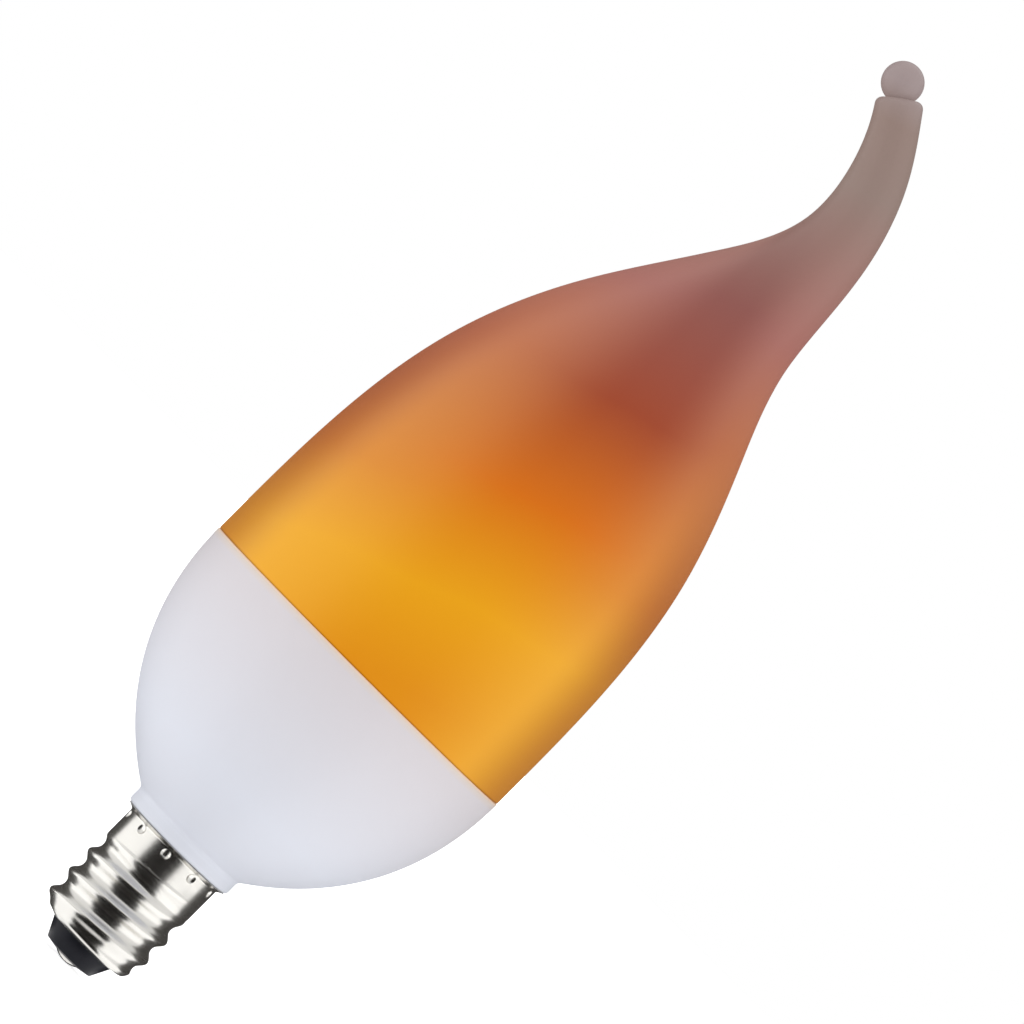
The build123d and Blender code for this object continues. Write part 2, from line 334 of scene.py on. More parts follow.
def skin(name, rings, looped=False):
    """A closed mesh over rings of points, where a ring of one point is an end.

    Looped joins the last ring to the first.
    """
    starts = np.cumsum([0] + [len(ring) for ring in rings]).tolist()
    pairs = [(i, i + 1) for i in range(len(rings) - 1)]
    if looped:
        pairs.append((len(rings) - 1, 0))
    faces = []
    for low, high in pairs:
        below, above = len(rings[low]), len(rings[high])
        columns = max(below, above)
        for i in range(columns):
            j = (i + 1) % columns
            corners = [
                starts[low] + i % below,
                starts[low] + j % below,
                starts[high] + j % above,
                starts[high] + i % above,
            ]
            faces.append(list(dict.fromkeys(corners)))
    mesh = bpy.data.meshes.new(name)
    mesh.from_pydata(np.concatenate(rings).tolist(), [], faces)
    work = bmesh.new()
    work.from_mesh(mesh)
    bmesh.ops.recalc_face_normals(work, faces=work.faces)
    work.to_mesh(mesh)
    work.free()
    mesh.shade_smooth()
    mesh.set_sharp_from_angle(angle=SHARP_ANGLE)
    piece = bpy.data.objects.new(name, mesh)
    bpy.context.scene.collection.objects.link(piece)
    return piece


def fit(piece, node, slot, *materials):
    """Gives a piece its materials and puts it in the place of a solid of the frame."""
    for material in materials:
        piece.data.materials.append(material)
    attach(piece, BODY)
    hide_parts(node)


def opaque(colour):
    """A colour with full alpha."""
    return (*colour, 1.0)


def add_node(tree, kind, inputs=(), stops=(), **settings):
    """Adds a node with its settings, its colour stops, and its inputs as values or links."""
    node = tree.nodes.new(f"ShaderNode{kind}")
    for name, value in settings.items():
        setattr(node, name, value)
    for i, (place, colour) in enumerate(stops):
        element = node.color_ramp.elements[i] if i < 2 else node.color_ramp.elements.new(place)
        element.position = place
        element.color = opaque(colour)
    for name, value in dict(inputs).items():
        if isinstance(value, bpy.types.NodeSocket):
            tree.links.new(value, node.inputs[name])
        else:
            node.inputs[name].default_value = value
    return node


def new_material(name):
    """A material with an empty node tree, and that tree."""
    material = bpy.data.materials.new(name)
    material.use_nodes = True
    material.node_tree.nodes.clear()
    return material, material.node_tree


def finish_surface(material, shader):
    """Sends a shader to the output of a material, and gives the material back."""
    add_node(material.node_tree, "OutputMaterial", {"Surface": shader.outputs[0]})
    return material


def moulded_grain(tree, place, size, depth):
    """A fine grain in a moulded surface, of a real size and depth."""
    grain = add_node(tree, "TexNoise", {"Vector": place, "Scale": 1 / size, "Detail": 2.0})
    return add_node(tree, "Bump", {"Height": grain.outputs["Fac"], "Strength": 1.0, "Distance": depth})


def flame_colour(settings, tree, place, axes, outwards):
    """Colour of the lit flame: a dark heart at the front and the back, and pale tongues at the sides, which
    are partly the flame's own pattern and partly a painted sheen of the side softboxes.
    """
    # The glow stands higher at one side and wanders a little
    wander_size = 22 * MM
    wander_reach = 5 * MM
    glow_slope = 0.31
    flicker = add_node(tree, "TexNoise", {"Vector": place, "Scale": 1 / wander_size, "Detail": 1.0})
    slope = {0: axes.outputs["X"], 1: -glow_slope, 2: axes.outputs["Z"]}
    slanted = add_node(tree, "Math", slope, operation="MULTIPLY_ADD")
    wander = {0: flicker.outputs["Fac"], 1: wander_reach, 2: slanted.outputs[0]}
    wandering = add_node(tree, "Math", wander, operation="MULTIPLY_ADD")
    low, high = SEAM_Z + wander_reach / 2, TIP_Z + wander_reach / 2
    height = add_node(
        tree, "MapRange", {"Value": wandering.outputs[0], "From Min": low, "From Max": high}
    )
    unlit = ((0.84, settings.smoke), (0.93, settings.smoke), (0.98, settings.mist))
    heart = add_node(
        tree,
        "ValToRGB",
        {"Fac": height.outputs["Result"]},
        stops=(
            (0.0, settings.amber),
            (0.13, settings.yellow),
            (0.28, settings.orange),
            (0.45, settings.ember),
            (0.63, settings.mauve),
            *unlit,
        ),
    )
    tongues_and_sheen = add_node(
        tree,
        "ValToRGB",
        {"Fac": height.outputs["Result"]},
        stops=(
            (0.0, settings.pale_yellow),
            (0.13, settings.pale_yellow),
            (0.24, settings.pale_orange),
            (0.46, settings.copper),
            (0.61, settings.rose),
            *unlit,
        ),
    )

    # The tongues begin a little away from the heart's middle, as the sine of the turn from it. Their
    # paleness is partly a painted sheen of the side softboxes
    tongue_from = 0.15
    tongue_full = 0.9
    sideways = (math.cos(settings.heart_turn), math.sin(settings.heart_turn), 0.0)
    facing = add_node(tree, "VectorMath", {0: outwards.outputs[0], 1: sideways}, operation="DOT_PRODUCT")
    from_heart = add_node(tree, "Math", {0: facing.outputs["Value"]}, operation="ABSOLUTE")
    tongue_and_sheen = add_node(
        tree,
        "MapRange",
        {"Value": from_heart.outputs[0], "From Min": tongue_from, "From Max": tongue_full},
        interpolation_type="SMOOTHSTEP",
    )
    flame = add_node(
        tree,
        "Mix",
        {0: tongue_and_sheen.outputs["Result"], 6: heart.outputs["Color"], 7: tongues_and_sheen.outputs["Color"]},
        data_type="RGBA",
    )
    return flame.outputs[2]


def flame_shade(settings, tree, axes, outwards, flame):
    """The flame's colour with painted shade: darker at the two sides near the seam and at the foot."""
    # Painted shade: low in the flame, the two sides are darkened and reddened through a filter, standing in
    # for the darker edges that the lit body shows towards its outline
    shade_from = SEAM_Z + 44 * MM
    shade_to = SEAM_Z + 18 * MM
    flank_from = 0.7
    side = add_node(tree, "SeparateXYZ", {"Vector": outwards.outputs[0]})
    to_side = add_node(tree, "Math", {0: side.outputs["X"]}, operation="ABSOLUTE")
    low_down = add_node(
        tree,
        "MapRange",
        {"Value": axes.outputs["Z"], "From Min": shade_from, "From Max": shade_to},
        interpolation_type="SMOOTHSTEP",
    )
    shade = add_node(
        tree,
        "MapRange",
        {"Value": to_side.outputs[0], "From Min": flank_from, "To Max": low_down.outputs["Result"]},
        interpolation_type="SMOOTHSTEP",
    )

    # Painted shade: the foot, where it stands in the bowl's rim, is darkened into a thin dark line along
    # the seam
    seam_shade_top = SEAM_Z + 0.22 * MM
    foot = add_node(
        tree, "MapRange", {"Value": axes.outputs["Z"], "From Min": seam_shade_top, "From Max": SEAM_Z}
    )
    # Both filters paint shade onto the flame's colour
    for amount, colour in ((shade, settings.painted_flank_shade), (foot, settings.painted_seam_shade)):
        filtered = add_node(
            tree,
            "Mix",
            {0: amount.outputs["Result"], 6: flame, 7: opaque(colour)},
            data_type="RGBA",
            blend_type="MULTIPLY",
        )
        flame = filtered.outputs[2]
    return flame


def frosted_polycarbonate(settings):
    """Moulded polycarbonate with a frosted skin, lit from inside by a flame of small lamps."""
    # The frost scatters the light, so the glow has soft borders and the gloss is broad and pale. Much of
    # the pale sheen at the sides is painted into the flame's colour through the tongues.
    material, tree = new_material("frosted_polycarbonate_moulded")
    place = add_node(tree, "TexCoord").outputs["Object"]
    axes = add_node(tree, "SeparateXYZ", {"Vector": place})
    level = add_node(tree, "Mapping", {"Vector": place, "Scale": (1.0, 1.0, 0.0)})
    outwards = add_node(tree, "VectorMath", {0: level.outputs["Vector"]}, operation="NORMALIZE")
    lit = flame_colour(settings, tree, place, axes, outwards)
    flame = flame_shade(settings, tree, axes, outwards, lit)
    tinted = add_node(tree, "HueSaturation", {"Color": flame, "Value": settings.skin})

    # Real frost has a grain near 0.05 mm, drawn coarser here so that it shows
    frost = moulded_grain(tree, place, size=0.4 * MM, depth=0.006 * MM)
    shader = add_node(
        tree,
        "BsdfPrincipled",
        {
            "Base Color": tinted.outputs["Color"],
            "Roughness": 0.36,
            "IOR": 1.58,
            "Specular IOR Level": 0.12,
            "Normal": frost.outputs["Normal"],
            "Emission Color": flame,
            "Emission Strength": settings.glow,
        },
    )
    return finish_surface(material, shader)


def white_polyester(settings):
    """Injection-moulded white polyester with a spark-eroded satin skin."""
    # A cool white with a satin gloss in broad soft patches. Towards the seam the bowl is painted darker and
    # warmer, with painted shade and the painted light of the lit flame, up to a painted glow on the rim;
    # the neck ring is painted darker as shade.
    material, tree = new_material("white_polyester_moulded")
    place = add_node(tree, "TexCoord").outputs["Object"]
    axes = add_node(tree, "SeparateXYZ", {"Vector": place})
    height = add_node(
        tree, "MapRange", {"Value": axes.outputs["Z"], "From Min": NECK_Z, "From Max": SEAM_Z}
    )
    # Painted light and shade: the neck stop is painted shade, and the stops near the seam paint the flame's
    # warm light and a glowing rim
    white = add_node(
        tree,
        "ValToRGB",
        {"Fac": height.outputs["Result"]},
        stops=(
            (0.04, settings.neck_white),
            (0.09, settings.white),
            (0.34, settings.white),
            (0.965, settings.flame_lit_shaded_white),
            (0.988, settings.blush),
            (1.0, settings.rim_glow),
        ),
    )
    cloud_size = 9 * MM
    clouds = add_node(tree, "TexNoise", {"Vector": place, "Scale": 1 / cloud_size, "Detail": 2.0})
    smooth, rough = 0.44, 0.54
    gloss = add_node(tree, "MapRange", {"Value": clouds.outputs["Fac"], "To Min": smooth, "To Max": rough})

    # Spark erosion leaves a grain near 0.05 mm, drawn coarser here so that it shows
    texture = moulded_grain(tree, place, size=0.5 * MM, depth=0.006 * MM)
    shader = add_node(
        tree,
        "BsdfPrincipled",
        {
            "Base Color": white.outputs["Color"],
            "Roughness": gloss.outputs["Result"],
            "IOR": 1.55,
            "Specular IOR Level": 0.4,
            "Normal": texture.outputs["Normal"],
        },
    )
    return finish_surface(material, shader)


def bright_plate(name, colour, line_spacing, smooth, rough):
    """Bright plate on pressed sheet, with the fine lines that the drawing die leaves round it."""
    # A mirror with a soft edge: the studio's white boxes and black cards show in it, slightly smeared.
    material, tree = new_material(name)
    place = add_node(tree, "TexCoord").outputs["Object"]

    # Real die lines lie near 0.02 mm apart, drawn coarser here so that they show
    line_depth = 0.001 * MM
    width_to_length = 0.05
    stretch = (width_to_length, width_to_length, 1.0)
    stretched = add_node(tree, "Mapping", {"Vector": place, "Scale": stretch})
    lines = add_node(
        tree, "TexNoise", {"Vector": stretched.outputs[0], "Scale": 1 / line_spacing, "Detail": 2.0}
    )
    gloss = add_node(tree, "MapRange", {"Value": lines.outputs["Fac"], "To Min": smooth, "To Max": rough})
    scratch = add_node(
        tree, "Bump", {"Height": lines.outputs["Fac"], "Strength": 1.0, "Distance": line_depth}
    )
    shader = add_node(
        tree,
        "BsdfPrincipled",
        {
            "Base Color": opaque(colour),
            "Metallic": 1.0,
            "Roughness": gloss.outputs["Result"],
            "Normal": scratch.outputs["Normal"],
        },
    )
    return finish_surface(material, shader)


def black_polyester(settings):
    """Injection-moulded black polyester, satin."""
    # Blue-black with a dull sheen and a faint mottle from the mould.
    material, tree = new_material("black_polyester_moulded")
    place = add_node(tree, "TexCoord").outputs["Object"]
    mottle_size = 1.2 * MM
    mottle = add_node(tree, "TexNoise", {"Vector": place, "Scale": 1 / mottle_size, "Detail": 3.0})
    smooth, rough = 0.32, 0.5
    gloss = add_node(tree, "MapRange", {"Value": mottle.outputs["Fac"], "To Min": smooth, "To Max": rough})

    # The mould's grain is near 0.03 mm, drawn coarser here so that it shows
    texture = moulded_grain(tree, place, size=0.25 * MM, depth=0.006 * MM)
    shader = add_node(
        tree,
        "BsdfPrincipled",
        {
            "Base Color": opaque(settings.black),
            "Roughness": gloss.outputs["Result"],
            "IOR": 1.55,
            "Specular IOR Level": 0.15,
            "Normal": texture.outputs["Normal"],
        },
    )
    return finish_surface(material, shader)


def flame_guide(settings):
    """A smooth curve through the flame's sections, and its length."""
    names = ("foot", "belly", "shoulder", "waist", "nape", "bow", "hook", "tail")
    stations = [getattr(settings, name) for name in names]
    heights = SEAM_Z + np.cumsum([rise for rise, diameter, throw in stations])
    points = np.array([(throw, diameter / 2, z) for (rise, diameter, throw), z in zip(stations, heights)])
    steps = np.linalg.norm(np.diff(points, axis=0), axis=1)
    knots = np.concatenate(([0], np.cumsum(steps)))
    count = len(points)
    system = np.eye(count)
    target = np.zeros((count, 3))
    target[0] = (0, 0, 1)
    target[-1] = (-math.sin(settings.tail_lean), 0, math.cos(settings.tail_lean))
    for i in range(1, count - 1):
        before, after = steps[i - 1], steps[i]
        system[i, i - 1 : i + 2] = after, 2 * (before + after), before
        rise_before = (points[i] - points[i - 1]) / before
        rise_after = (points[i + 1] - points[i]) / after
        target[i] = 3 * (after * rise_before + before * rise_after)
    slopes = np.linalg.solve(system, target)

    def guide(distance):
        """Throw, radius and height at a distance along the curve, and how they run on."""
        i = int(np.clip(np.searchsorted(knots, distance) - 1, 0, count - 2))
        step = steps[i]
        t = (distance - knots[i]) / step
        chord = (points[i + 1] - points[i]) / step
        bend = 3 * chord - 2 * slopes[i] - slopes[i + 1]
        twist = slopes[i] + slopes[i + 1] - 2 * chord
        place = points[i] + step * t * (slopes[i] + t * (bend + t * twist))
        run = slopes[i] + t * (2 * bend + 3 * t * twist)
        return place, run

    return guide, knots[-1]


def flame_ring(place, run, radius, lift=0.0):
    """A ring square to the flame's middle line, lifted along it, or a point on it."""
    count = FLAME_COLUMNS if radius > 0 else 1
    angles = 2 * np.pi * np.arange(count) / FLAME_COLUMNS
    along = unit(np.array((run[0], 0, run[2])))
    outwards = np.array((along[2], 0, -along[0]))
    across = np.array((0, 1, 0))
    centre = np.array((place[0], 0, place[2])) + along * lift
    return centre + radius * (np.outer(np.cos(angles), outwards) + np.outer(np.sin(angles), across))


def flame_rings(settings):
    """Rings of the whole diffuser: its plug, the flame from the seam to the tail's end, and the ball."""
    guide, end = flame_guide(settings)
    foot_round, tail_round = settings.foot_round, settings.tail_round
    quarter = np.pi / 2 * np.arange(ARC_STEPS + 1) / ARC_STEPS
    plug = rounded(
        (0, PLUG_Z, 0),
        (settings.plug_radius, PLUG_Z, foot_round),
        (settings.plug_radius, SEAM_Z, 0),
    )
    rings = [flame_ring((0, 0, height), (0, 0, 1), radius) for radius, height in plug]
    distances = [foot_round * (1 - math.cos(angle)) for angle in quarter]
    distances += list(np.linspace(foot_round, end - tail_round, FLAME_ROWS)[1:-1])
    distances += [end - tail_round * (1 - math.sin(angle)) for angle in quarter]
    for distance in distances:
        place, run = guide(distance)
        into_foot = max(1 - distance / foot_round, 0)
        into_tail = max(1 - (end - distance) / tail_round, 0)
        tuck = foot_round * (1 - math.sqrt(1 - into_foot**2))
        tuck += tail_round * (1 - math.sqrt(1 - into_tail**2))
        rings.append(flame_ring(place, run, place[1] - tuck))
    ball = settings.ball / 2
    lift = ball - settings.ball_sink
    place, run = guide(end)
    start = math.asin(lift / ball)
    for row in range(BALL_ROWS + 1):
        angle = -start + (math.pi / 2 + start) * row / BALL_ROWS
        radius = ball * math.cos(angle) if row < BALL_ROWS else 0
        rings.append(flame_ring(place, run, radius, lift + ball * math.sin(angle)))
    return rings


class CANDLEBULB_OT_diffuser(bpy.types.Operator):
    """Builds the frosted flame-shaped diffuser with its bent tail and ball"""

    bl_idname = "candlebulb.diffuser"
    bl_label = "Diffuser"

    def execute(self, context):
        settings = context.scene.candle_bulb.diffuser
        piece = skin("frosted_flame", flame_rings(settings))
        fit(piece, "diffuser", "frosted_diffuser", frosted_polycarbonate(settings))
        return {"FINISHED"}


def bowl_outline(settings):
    """Outline of the white bowl: spigot, neck ring, bowl and the recess in its mouth."""
    ring, rim = settings.ring_radius, BOWL_RADIUS
    bowl_z = NECK_Z + settings.ring_height
    out = settings.flare_reach * math.sin(settings.flare_angle)
    up = settings.flare_reach * math.cos(settings.flare_angle)
    neck = rounded(
        (0, SPIGOT_Z, 0),
        (settings.spigot_radius, SPIGOT_Z, settings.ring_round),
        (settings.spigot_radius, NECK_Z, 0),
        (ring, NECK_Z, settings.ring_round),
        (ring, bowl_z, settings.neck_round),
        (ring + out, bowl_z + up, 0),
    )[:-1]
    handles = np.array(
        ((ring, bowl_z), (ring + out, bowl_z + up), (rim, SEAM_Z - settings.side_reach), (rim, SEAM_Z))
    )
    bowl = []
    for step in range(1, BOWL_ROWS):
        t = step / BOWL_ROWS
        weights = ((1 - t) ** 3, 3 * t * (1 - t) ** 2, 3 * t**2 * (1 - t), t**3)
        point = weights @ handles
        if neck[-1][1] < point[1] < SEAM_Z - settings.rim_round:
            bowl.append(point)
    recess = rim - settings.rim_width
    recess_z = SEAM_Z - settings.recess_depth
    mouth = rounded(
        (rim, SEAM_Z - settings.side_reach, 0),
        (rim, SEAM_Z, settings.rim_round),
        (recess, SEAM_Z, 0),
        (recess, recess_z, 0),
        (0, recess_z, 0),
    )
    return neck + bowl + mouth[1:]


class CANDLEBULB_OT_housing(bpy.types.Operator):
    """Builds the white bowl with its neck ring"""

    bl_idname = "candlebulb.housing"
    bl_label = "Housing"

    def execute(self, context):
        settings = context.scene.candle_bulb.housing
        piece = skin("white_bowl", turned_rings(bowl_outline(settings), BOWL_COLUMNS))
        fit(piece, "housing", "white_housing", white_polyester(settings))
        return {"FINISHED"}


def last_ridge(settings, angles, height):
    """Height of the faint ridge that the thread roll leaves at the collar's foot."""
    from_middle = (angles - settings.ridge_middle + np.pi) % (2 * np.pi) - np.pi
    level = settings.ridge_level + settings.thread_pitch * from_middle / (2 * np.pi)
    aside = np.clip(np.abs(height - level) / settings.ridge_width, 0, 1)
    along = 1 - ramp(np.abs(from_middle), 0, settings.ridge_reach)
    return settings.ridge_height * along * (0.5 + 0.5 * np.cos(np.pi * aside))


def thread_radius(settings, angles, height):
    """Radius of the shell's outside at a height above its rim, all the way round."""
    total, runout = settings.thread_length, settings.thread_runout
    root = settings.crest_radius - settings.thread_depth
    level = height + settings.runout_slant * (0.5 + 0.5 * np.cos(angles))
    crest_fade = ramp(level, total - 2 * runout, total - runout)
    root_fade = ramp(level, total - runout, total)
    crest_now = settings.crest_radius + (settings.collar_radius - settings.crest_radius) * crest_fade
    root_now = root + (settings.collar_radius - root) * root_fade
    phase = 2 * np.pi * height / settings.thread_pitch + settings.thread_start - angles
    wave = (0.5 + 0.5 * np.cos(phase)) ** settings.crest_sharpness
    wave *= ramp(height, settings.thread_fade_from, settings.thread_fade_to)
    return root_now + (crest_now - root_now) * wave + last_ridge(settings, angles, height)


def crimp_grid(settings, angles, row_step):
    """Angles, heights and depths of the rows that hold the crimps, bent into circles about each crimp."""
    reach = CRIMP_RINGS + 1
    rows = np.arange(-reach, reach + 1)
    bent = np.repeat(angles[None, :], len(rows), axis=0)
    heights = np.repeat(rows[:, None] * row_step, len(angles), axis=1)
    depths = np.zeros_like(bent)
    edge, depth = settings.crimp_radius, settings.crimp_depth
    punch = (edge**2 + depth**2) / (2 * depth)
    for crimp in range(settings.crimp_count):
        middle = crimp * SHELL_COLUMNS_PER_CRIMP
        for row in rows:
            for column in range(-CRIMP_RINGS, CRIMP_RINGS + 1):
                ring = max(abs(row), abs(column))
                if ring > CRIMP_RINGS:
                    continue
                if abs(column) >= abs(row):
                    angle = math.pi / 4 * row / column if column else 0
                    angle += math.pi if column < 0 else 0
                else:
                    angle = math.copysign(math.pi / 2, row) - math.pi / 4 * column / row
                radius = ring * row_step
                at = (row + reach, (middle + column) % len(angles))
                bent[at] = angles[middle] + radius * math.cos(angle) / settings.collar_radius
                heights[at] = radius * math.sin(angle)
                depths[at] = depth - punch + math.sqrt(punch**2 - radius**2)
    return bent, heights, depths


def shell_rings(settings):
    """Rings of the screw shell: from the floor's hole up the outside and down the inside."""
    columns = settings.crimp_count * SHELL_COLUMNS_PER_CRIMP
    angles = settings.crimp_start + 2 * np.pi * np.arange(columns) / columns
    wall = settings.wall
    lip_z = NECK_Z - settings.lip_height
    crimp_z = lip_z - settings.crimp_below_lip
    row_step = settings.crimp_radius / CRIMP_RINGS

    def ring(radius, height, bearings=angles):
        """A ring whose radius, height and bearings may change on the way round."""
        level = np.broadcast_to(height, bearings.shape)
        return np.stack((radius * np.cos(bearings), radius * np.sin(bearings), level), axis=1)

    root = settings.crest_radius - settings.thread_depth
    hole = settings.hole_radius
    rim = rounded(
        (hole, 0, 0),
        (root, settings.rim_rise, settings.rim_round),
        (root, settings.thread_length, 0),
    )[:-1]
    rim_top = rim[-1][1]
    slant = settings.rim_slant * (0.5 - 0.5 * np.cos(angles)) ** 2

    def thread_ring(height, tuck):
        """A ring of the thread, tucked in towards the floor's hole and raised by the rim's slant."""
        evened = ramp(height, rim_top, rim_top + settings.rim_slant_fade)
        level = height + slant * (1 - tuck / (root - hole)) ** 2 * (1 - evened)
        return ring(thread_radius(settings, angles, level) - tuck, RIM_Z + level)

    outside = [thread_ring(height, root - radius) for radius, height in rim]
    clear_of_ridge = 2 * settings.ridge_width
    thread_heights = np.linspace(rim_top, settings.ridge_level + clear_of_ridge, THREAD_ROWS)[1:]
    outside += [thread_ring(height, 0) for height in thread_heights]
    inside = [
        ring(thread_radius(settings, angles, height) - wall, RIM_Z + height)
        for height in thread_heights[::THREAD_ROWS_PER_INSIDE_ROW]
    ]

    edge_tuck, edge_drop = wall / 2, wall / 3
    lip_edge_z = NECK_Z - edge_drop

    def collar_line(height, top):
        """Radius of the collar, with the flare of its lip up to the top."""
        into_lip = np.clip((height - lip_z) / (top - lip_z), 0, 1)
        return settings.collar_radius + (LIP_RADIUS - settings.collar_radius) * into_lip**settings.lip_curve

    bearings, offsets, depths = crimp_grid(settings, angles, row_step)
    for row in range(len(bearings)):
        height = crimp_z + offsets[row]
        outside.append(ring(collar_line(height, lip_edge_z) - depths[row], height, bearings[row]))
        inside.append(ring(collar_line(height, NECK_Z) - depths[row] - wall, height, bearings[row]))

    crimps_top = crimp_z + offsets[-1].max()
    for height in np.linspace(crimps_top, lip_edge_z, LIP_ROWS + 1)[1:]:
        outside.append(ring(collar_line(height, lip_edge_z), height))
    for height in np.linspace(crimps_top, NECK_Z, LIP_ROWS + 1)[1:]:
        inside.append(ring(collar_line(height, NECK_Z) - wall, height))
    edge = [
        ring(LIP_RADIUS - edge_tuck / 2, NECK_Z - edge_drop / 3),
        ring(LIP_RADIUS - edge_tuck, NECK_Z),
    ]
    floor = [ring(HEAD_RADIUS, RIM_Z + wall), ring(hole, RIM_Z + wall)]
    return floor + outside + edge + inside[::-1]


class CANDLEBULB_OT_screw_shell(bpy.types.Operator):
    """Builds the plated screw shell with its rolled thread, punched crimps and flared lip"""

    bl_idname = "candlebulb.screw_shell"
    bl_label = "Screw shell"

    def execute(self, context):
        settings = context.scene.candle_bulb.cap
        piece = skin("threaded_shell", shell_rings(settings), looped=True)
        plate = bright_plate(
            "nickel_plate_on_pressed_sheet", settings.nickel, line_spacing=0.12 * MM, smooth=0.2, rough=0.3
        )
        fit(piece, "screw_shell", "nickel_plate", plate)
        return {"FINISHED"}


class CANDLEBULB_OT_insulator(bpy.types.Operator):
    """Builds the black cone below the shell's rim"""

    bl_idname = "candlebulb.insulator"
    bl_label = "Insulator"

    def execute(self, context):
        settings = context.scene.candle_bulb.cap
        nose_z = INSULATOR_Z + settings.recess_depth
        floor_z = RIM_Z + settings.wall
        edge = settings.insulator_round
        outline = rounded(
            (settings.bore_radius, nose_z, 0),
            (settings.recess_radius, nose_z, 0),
            (settings.recess_radius, INSULATOR_Z, 0),
            (settings.nose_radius, nose_z, edge),
            (settings.neck_radius, RIM_Z, 0),
            (settings.neck_radius, floor_z, 0),
            (HEAD_RADIUS, floor_z, 0),
            (HEAD_RADIUS, HEAD_TOP_Z, edge),
            (settings.bore_radius, HEAD_TOP_Z, 0),
        )
        piece = skin("black_cone", turned_rings(outline, CAP_COLUMNS), looped=True)
        fit(piece, "insulator", "black_insulator", black_polyester(settings))
        return {"FINISHED"}


class CANDLEBULB_OT_centre_contact(bpy.types.Operator):
    """Builds the domed centre contact with its stem"""

    bl_idname = "candlebulb.centre_contact"
    bl_label = "Centre contact"

    def execute(self, context):
        settings = context.scene.candle_bulb.cap
        nose_z = INSULATOR_Z + settings.recess_depth
        ball = (CONTACT_RADIUS**2 + nose_z**2) / (2 * nose_z)
        radii = [CONTACT_RADIUS * step / DOME_ROWS for step in range(DOME_ROWS)]
        dome = [(radius, ball - math.sqrt(ball**2 - radius**2)) for radius in radii]
        edge_z = nose_z - settings.contact_edge
        back = rounded(
            (CONTACT_RADIUS, edge_z, 0),
            (CONTACT_RADIUS, nose_z, settings.contact_edge / 2),
            (settings.stem_radius, nose_z, 0),
            (settings.stem_radius, STEM_TOP_Z, 0),
            (0, STEM_TOP_Z, 0),
        )
        piece = skin("domed_contact", turned_rings(dome + back, CAP_COLUMNS))
        plate = bright_plate(
            "nickel_plate_on_brass_rivet", settings.silver, line_spacing=0.2 * MM, smooth=0.16, rough=0.3
        )
        fit(piece, "centre_contact", "nickel_plate", plate)
        return {"FINISHED"}


def seen_directly(tree):
    """1 for rays from the eye and those that a gloss or a clear piece sends on, and 0 for other rays."""
    rays = add_node(tree, "LightPath").outputs
    seen = rays["Is Camera Ray"]
    for kind in ("Is Glossy Ray", "Is Transmission Ray"):
        seen = add_node(tree, "Math", {0: seen, 1: rays[kind]}, operation="MAXIMUM").outputs[0]
    return seen


def white_surround(settings):
    """A white world for the eye, which lights the bulb from all around at the fill's level."""
    world = bpy.data.worlds.new("white_surround")
    world.use_nodes = True
    tree = world.node_tree
    tree.nodes.clear()
    level = add_node(tree, "MapRange", {"Value": seen_directly(tree), "To Min": settings.fill_level})
    light = add_node(
        tree, "Background", {"Color": opaque((1.0, 1.0, 1.0)), "Strength": level.outputs["Result"]}
    )
    add_node(tree, "OutputWorld", {"Surface": light.outputs[0]})
    bpy.context.scene.world = world


def white_paper(settings):
    """White background paper that keeps a faint shadow."""
    material, tree = new_material("white_paper_sweep")
    paper = add_node(tree, "BsdfDiffuse", {"Color": opaque(settings.floor)})
    strength = add_node(
        tree, "Math", {0: seen_directly(tree), 1: settings.floor_glow}, operation="MULTIPLY"
    )
    glow = add_node(tree, "Emission", {"Strength": strength.outputs[0]})
    both = add_node(tree, "AddShader", {0: paper.outputs[0], 1: glow.outputs[0]})
    return finish_surface(material, both)


def softbox_cloth(settings):
    """White cloth of a softbox, lit from behind."""
    material, tree = new_material("softbox_cloth")
    glow = add_node(tree, "Emission", {"Strength": settings.box_level})
    return finish_surface(material, glow)


def dark_velvet(name, colour):
    """Dark velvet of a flag, which gives metal its dark bands and edges."""
    material, tree = new_material(name)
    velvet = add_node(tree, "BsdfDiffuse", {"Color": opaque(colour)})
    return finish_surface(material, velvet)


def stage_mesh(name, points, faces, material):
    """A piece of the studio, which isn't part of the bulb."""
    mesh = bpy.data.meshes.new(name)
    mesh.from_pydata(points, [], faces)
    mesh.materials.append(material)
    piece = bpy.data.objects.new(name, mesh)
    bpy.context.scene.collection.objects.link(piece)
    return piece


def bent_card(name, bearing_from, bearing_to, near, far, material):
    """A card bent round the bulb between two bearings from the front.

    Near and far are the distance and height of its two long edges.
    """
    points = []
    for step in range(CARD_STEPS + 1):
        bearing = bearing_from + (bearing_to - bearing_from) * step / CARD_STEPS
        for distance, height in (near, far):
            points.append((distance * math.sin(bearing), -distance * math.cos(bearing), height))
    faces = [(2 * i, 2 * i + 2, 2 * i + 3, 2 * i + 1) for i in range(CARD_STEPS)]
    card = stage_mesh(name, points, faces, material)
    card.visible_camera = False
    return card


def contact_shadow_card(settings, height, material):
    """A painted shadow: a small dark rounded card on the floor below the contact, longer at the back, that
    stands in for the shadow under the contact where the contact reflects it.
    """
    points = []
    for step in range(CARD_STEPS):
        bearing = 2 * math.pi * step / CARD_STEPS
        reach = settings.foot_back if math.sin(bearing) > 0 else settings.foot_front
        points.append((settings.foot_side * math.cos(bearing), reach * math.sin(bearing), height))
    card = stage_mesh("contact_shadow_flag", points, [range(CARD_STEPS)], material)
    card.visible_camera = False
    return card


